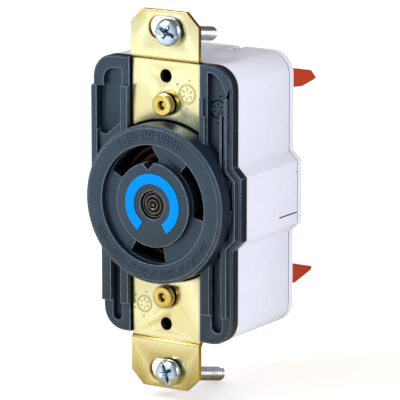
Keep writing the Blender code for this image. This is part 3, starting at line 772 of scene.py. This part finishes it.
def make_eyelets():
    """Brass spools: two turned flanges with a waist, a bore with a domed web, and a clinched tail."""
    web = [(0.0, 0.75), (0.35, 0.80), (0.8, 1.15), (1.0, 1.2)]
    front = [(1.05, 0.35), (1.12, 0.08), (1.35, 0.0), (1.75, 0.02), (2.2, 0.0), (2.5, 0.06), (2.66, 0.2),
             (2.7, 0.36), (2.66, 0.52), (2.5, 0.64), (2.2, 0.70), (2.14, 0.78), (2.14, 1.0), (2.2, 1.06),
             (2.55, 1.12), (2.72, 1.24), (2.75, 1.4), (2.7, 1.62), (2.55, 1.7), (1.6, 1.72), (1.55, 1.8)]
    tail = [(1.55, 8.35), (2.4, 8.4), (2.58, 8.55), (2.58, 8.8), (2.4, 8.97), (1.3, 9.0), (1.1, 8.9),
            (1.05, 2.0), (0.0, 1.9)]
    profile = web + front + tail
    for side in SIDES:
        low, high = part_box(side + "_eyelet")
        middle = (low + high) / 2
        place = Matrix.Translation((middle.x, low.y, middle.z)) @ TO_METRES
        piece = piece_from(side + "_spool_eyelet", lathe(profile, 56), MATERIALS["brass"], place)
        belongs(piece, "housing", "brass", side + "_eyelet")


def make_hub_rivet():
    """Rings turned into the head of the rivet on the axis, its shaft and its spread tail."""
    low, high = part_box("centre_rivet")
    head = [(0.0, 0.10), (0.25, 0.02), (0.42, 0.06), (0.52, 0.42), (0.66, 0.55), (0.80, 0.42), (0.92, 0.14),
            (1.12, 0.05), (1.34, 0.12), (1.46, 0.45), (1.60, 0.58), (1.76, 0.45), (1.90, 0.24), (2.12, 0.16),
            (2.34, 0.24), (2.46, 0.50), (2.58, 0.60), (2.72, 0.46), (2.86, 0.34), (3.02, 0.34), (3.12, 0.48),
            (3.15, 0.70), (3.15, 1.38), (1.5, 1.40)]
    length = (high.y - low.y) / MM
    tail = [(1.5, length - 0.95), (2.2, length - 0.93), (2.4, length - 0.75), (2.35, length - 0.5),
            (1.9, length - 0.12), (1.2, length - 0.02), (0.5, length - 0.25), (0.0, length - 0.3)]
    place = Matrix.Translation((0.0, low.y, 0.0)) @ TO_METRES
    piece = piece_from("ringed_rivet", lathe(head + tail, 56), MATERIALS["dark_rivet"], place)
    belongs(piece, "housing", "dark_rivet", "centre_rivet")


def screw_place(side):
    """From a screw's own millimetres, with its axis along Y, to its place at rest."""
    joint = next(j for j in frame["joints"] if j["name"] == side + "_screw_spin")
    aim = Vector((0.0, 1.0, 0.0)).rotation_difference(Vector(joint["axis"])).to_matrix().to_4x4()
    return Matrix.Translation(joint["pos_m"]) @ aim @ TO_METRES


def pan_head():
    """The low dome of the head with a cross recess and a slot, over a flat bearing face."""
    dome = []
    steps = 12
    for i in range(steps + 1):
        turn = math.radians(90.0 * i / steps)
        lift = HEAD_DOME * math.cos(turn) ** 0.72
        dome.append((HEAD_R * math.sin(turn), HEAD_UNDER_Y - HEAD_WALL - lift))
    dome[0] = (0.0, dome[0][1])
    profile = dome + [(HEAD_R, HEAD_UNDER_Y - 0.12), (HEAD_R - 0.12, HEAD_UNDER_Y), (ROOT_R, HEAD_UNDER_Y)]
    profile += [(ROOT_R, HEAD_UNDER_Y + 0.8), (0.0, HEAD_UNDER_Y + 0.8)]
    head = piece_from("head", lathe(profile, 56), None, AS_DRAWN)
    above = HEAD_UNDER_Y - 2.4
    for wide, tall in (CROSS_ARM, CROSS_ARM[::-1]):
        arm = [(-wide, -tall), (wide, -tall), (wide, tall), (-wide, tall)]
        carve(head, prism(arm, above, HEAD_UNDER_Y + 0.1, CROSS_TAPER))
    past = HEAD_R + 1
    slot = [(-past, -SLOT_HALF), (past, -SLOT_HALF), (past, SLOT_HALF), (-past, SLOT_HALF)]
    carve(head, prism(slot, above, HEAD_UNDER_Y - 1.15))
    return head


def make_screw_head(side, place):
    head = pan_head()
    round_edges(head, 0.05, 40)
    head.name = side + "_screw_head"
    head.data.transform(place)
    head.data.materials.clear()
    head.data.materials.append(MATERIALS["zinc_steel"])
    smooth_by_angle(head.data)
    belongs(head, side + "_screw_body", "zinc_steel", side + "_mounting_screw")


def make_screw_core(side, place):
    """The shank at the root of the thread, from inside the head to a short cone."""
    top = HEAD_UNDER_Y + 0.2
    root = ROOT_R - 0.02
    point = [(root, TIP_Y - 0.8), (1.15, TIP_Y - 0.25), (0.9, TIP_Y - 0.02), (0.0, TIP_Y)]
    shank = [(0.0, top), (root, top)] + point
    core = piece_from(side + "_screw_core", lathe(shank, 40), MATERIALS["thread_zinc"], place)
    belongs(core, side + "_screw_body", "zinc_steel")


def make_screw_thread(side, place):
    length = THREAD_END_Y - THREAD_START_Y
    root = ROOT_R + 0.02
    along_y = Matrix.Translation((0.0, THREAD_START_Y, 0.0)) @ Matrix.Rotation(math.radians(-90), 4, "X")
    thread = grown(side + "_screw_thread", WOUND_RIDGE, MATERIALS["thread_zinc"], place @ along_y,
                   Turns=length / THREAD_PITCH, Steps=24, Radius=root, Length=length, Ridge=CREST_R - root)
    belongs(thread, side + "_screw_body", "zinc_steel")


def make_mounting_screws():
    """Long machine screws: a domed head, a root shank with a cone point, and a wound thread."""
    for side in SIDES:
        place = screw_place(side) @ Matrix.Rotation(math.radians(HEAD_TURNS[side]), 4, "Y")
        make_screw_head(side, place)
        make_screw_core(side, place)
        make_screw_thread(side, place)


def make_collar_marks():
    """Plain raised strokes and dashes round the collar, in place of any wording."""
    face = Matrix.Translation((0.0, COLLAR_FACE_Y * MM, 0.0)) @ TO_METRES
    for number, (first, last) in enumerate(MARK_SPANS):
        count = int(math.radians(last - first) / MARK_STEP)
        shared = {"Count": count, "Radius": MARK_BAND_R, "Step": MARK_STEP}
        strokes = grown(f"collar_strokes_{number + 1}", RAISED_MARKS, MATERIALS["mark_black"], face, **shared,
                        First_Angle=math.radians(first), Length=2.1, Width=0.36, Turn=0.0, Wander=0.0,
                        Left_Out=0.28, Seed=11 + number)
        belongs(strokes, "housing", "black_plastic")
        dashes = grown(f"collar_dashes_{number + 1}", RAISED_MARKS, MATERIALS["mark_black"], face, **shared,
                       First_Angle=math.radians(first + 1.5), Length=0.8, Width=0.34,
                       Turn=math.radians(90), Wander=0.85, Left_Out=0.25, Seed=21 + number)
        belongs(dashes, "housing", "black_plastic")


def make_stamped_marks():
    """Small struck rings with bars and dots, on the straps and one wing, in place of any badge."""
    spots = [
        ("upper_strap_stamp", "stamped_yellow", "yellow_strap", (5.95, STRAP_FRONT_Y, 26.3), 1.14),
        ("lower_strap_stamp", "stamped_yellow", "yellow_strap", (-6.3, STRAP_FRONT_Y, -26.0), 1.0),
        ("wing_stamp", "pocket_black", "black_plastic", (13.95, WING_FIELD_Y, 23.35), 1.08),
    ]
    ring = [(1.82, 0.02), (1.88, -0.10), (2.06, -0.10), (2.12, 0.02), (1.82, 0.02)]
    for name, finish, slot, spot, size in spots:
        place = Matrix.Translation(Vector(spot) * MM) @ TO_METRES @ Matrix.Scale(size, 4)
        made = piece_from(name + "_ring", lathe(ring, 48), MATERIALS[finish], place)
        belongs(made, "housing", slot)
        low = place @ Matrix.Diagonal((1.0, 0.8, 1.0, 1.0))
        bars = grown(name + "_bars", RAISED_MARKS, MATERIALS[finish], low, Count=6, Radius=1.05,
                     First_Angle=0.5, Step=math.radians(60), Length=0.75, Width=0.2, Turn=0.0,
                     Wander=0.0, Left_Out=0.0, Seed=3)
        belongs(bars, "housing", slot)
        dots = grown(name + "_dots", RAISED_MARKS, MATERIALS[finish], low, Count=4, Radius=3.0,
                     First_Angle=math.radians(80), Step=math.radians(62), Length=0.45, Width=0.3,
                     Turn=math.radians(90), Wander=0.1, Left_Out=0.0, Seed=5)
        belongs(dots, "housing", slot)


def dress_cad_springs():
    """The coil springs keep their CAD meshes."""
    for pole in POLES:
        spring = frame["nodes"][pole + "_spring"]
        spring.data.materials.clear()
        spring.data.materials.append(MATERIALS["spring_steel"])


# ---------------------------------------------------------------- studio


def surroundings(tree, direction):
    """What shiny faces see: slate, pale at the front left, dark behind, brown above, a strip each side."""

    def toward(aim, start, full):
        dot = add_node(tree, "ShaderNodeVectorMath", {"operation": "DOT_PRODUCT"})
        tree.links.new(direction, dot.inputs[0])
        dot.inputs[1].default_value = Vector(aim).normalized()
        return spread(tree, dot.outputs["Value"], start, full)

    front_left = toward((-0.55, -0.80, -0.20), 0.35, 0.88)
    behind = spread(tree, axis_of(tree, direction, "Y"), 0.10, 0.50)
    above = toward((0.0, 0.1, 1.0), 0.72, 0.96)
    left_strip = toward((-1.0, 0.02, 0.10), 0.93, 0.985)
    right_strip = toward((1.0, -0.15, 0.05), 0.955, 0.985)
    seen = blended(tree, front_left, (0.20, 0.25, 0.32), (0.92, 0.96, 0.98))
    seen = blended(tree, behind, seen, (0.080, 0.044, 0.022))
    seen = blended(tree, above, seen, (0.26, 0.22, 0.18))
    seen = blended(tree, left_strip, seen, (0.85, 0.92, 1.0))
    return blended(tree, right_strip, seen, (0.90, 0.92, 0.95))


def floor_material():
    """Pale for the eye. Shiny faces see the surroundings in it, with a golden pool under the piece."""
    made, tree, shader = new_material("pale_floor", (0.93, 0.93, 0.93), 0.0, 0.9)
    soft = noise(tree, 3.0, 2.0, 0.5)
    pale = blended(tree, soft, (0.92, 0.92, 0.92), (0.94, 0.94, 0.94))
    place = object_place(tree)
    aim = add_node(tree, "ShaderNodeVectorMath", {"operation": "NORMALIZE"})
    away = add_node(tree, "ShaderNodeVectorMath", {"operation": "LENGTH"})
    tree.links.new(place, aim.inputs[0])
    tree.links.new(place, away.inputs[0])
    shiny = tree.nodes.new("ShaderNodeLightPath").outputs["Is Glossy Ray"]
    pool_inside, pool_outside, pool_share = 0.045, 0.140, 0.75
    underfoot = spread(tree, away.outputs["Value"], pool_inside, pool_outside, pool_share, 0.0)
    mirrored = blended(tree, underfoot, surroundings(tree, aim.outputs["Vector"]), (0.66, 0.52, 0.20))
    tree.links.new(blended(tree, shiny, pale, mirrored), shader.inputs["Base Color"])
    glow = blended(tree, shiny, (1.0, 1.0, 1.0), (0.0, 0.0, 0.0))
    tree.links.new(glow, shader.inputs["Emission Color"])
    shader.inputs["Emission Strength"].default_value = 0.22
    shader.inputs["Specular IOR Level"].default_value = 0.05
    return made


def make_floor():
    """A pale sheet under the piece, far wider than the view."""
    work = bmesh.new()
    half = 6.0
    level = cad_low.z - 0.0004
    square = ((-half, -half), (half, -half), (half, half), (-half, half))
    work.faces.new([work.verts.new((x, y, level)) for x, y in square])
    mesh = bpy.data.meshes.new("floor")
    work.to_mesh(mesh)
    work.free()
    mesh.materials.append(floor_material())
    floor = bpy.data.objects.new("floor", mesh)
    bpy.context.scene.collection.objects.link(floor)


def area_light(name, place, target, size, power, colour):
    data = bpy.data.lights.new(name, "AREA")
    data.shape = "RECTANGLE"
    data.size, data.size_y = size
    data.energy = power
    data.color = colour
    light = bpy.data.objects.new(name, data)
    light.location = place
    light.rotation_euler = (Vector(target) - Vector(place)).to_track_quat("-Z", "Y").to_euler()
    bpy.context.scene.collection.objects.link(light)


def make_world():
    """White for the eye, an even soft grey for dull faces, and the surroundings for shiny ones."""
    world = bpy.data.worlds.new("studio")
    bpy.context.scene.world = world
    world.use_nodes = True
    tree = world.node_tree
    background = tree.nodes["Background"]
    direction = tree.nodes.new("ShaderNodeTexCoord").outputs["Generated"]
    path = tree.nodes.new("ShaderNodeLightPath")
    above = spread(tree, axis_of(tree, direction, "Z"), 0.25, 0.85)
    even = blended(tree, above, (0.68, 0.68, 0.69), (0.79, 0.70, 0.60))
    dull = blended(tree, path.outputs["Is Glossy Ray"], even, surroundings(tree, direction))
    colour = blended(tree, path.outputs["Is Camera Ray"], dull, (1.0, 1.0, 1.0))
    tree.links.new(colour, background.inputs["Color"])
    background.inputs["Strength"].default_value = 1.0


def make_camera():
    data = bpy.data.cameras.new("camera")
    data.sensor_width = CAMERA_SENSOR
    data.lens = CAMERA_LENS
    camera = bpy.data.objects.new("camera", data)
    camera.location = CAMERA_PLACE
    aim = Vector(CAMERA_AIM) - camera.location
    camera.rotation_euler = aim.to_track_quat("-Z", "Y").to_euler()
    bpy.context.scene.collection.objects.link(camera)
    bpy.context.scene.camera = camera


def make_studio():
    make_world()
    make_floor()
    make_camera()
    area_light("key", (-0.55, -0.75, 0.75), (0.0, 0.0, 0.0), (0.5, 0.5), 6.5, (1.0, 0.99, 0.97))
    area_light("side", (0.9, -0.25, 0.45), (0.0, 0.0, 0.0), (0.5, 0.7), 4.5, (0.95, 0.97, 1.0))
    bpy.context.scene.view_settings.view_transform = "Standard"


make_softened_pieces()
make_eyelets()
make_hub_rivet()
make_mounting_screws()
make_collar_marks()
make_stamped_marks()
dress_cad_springs()
make_studio()
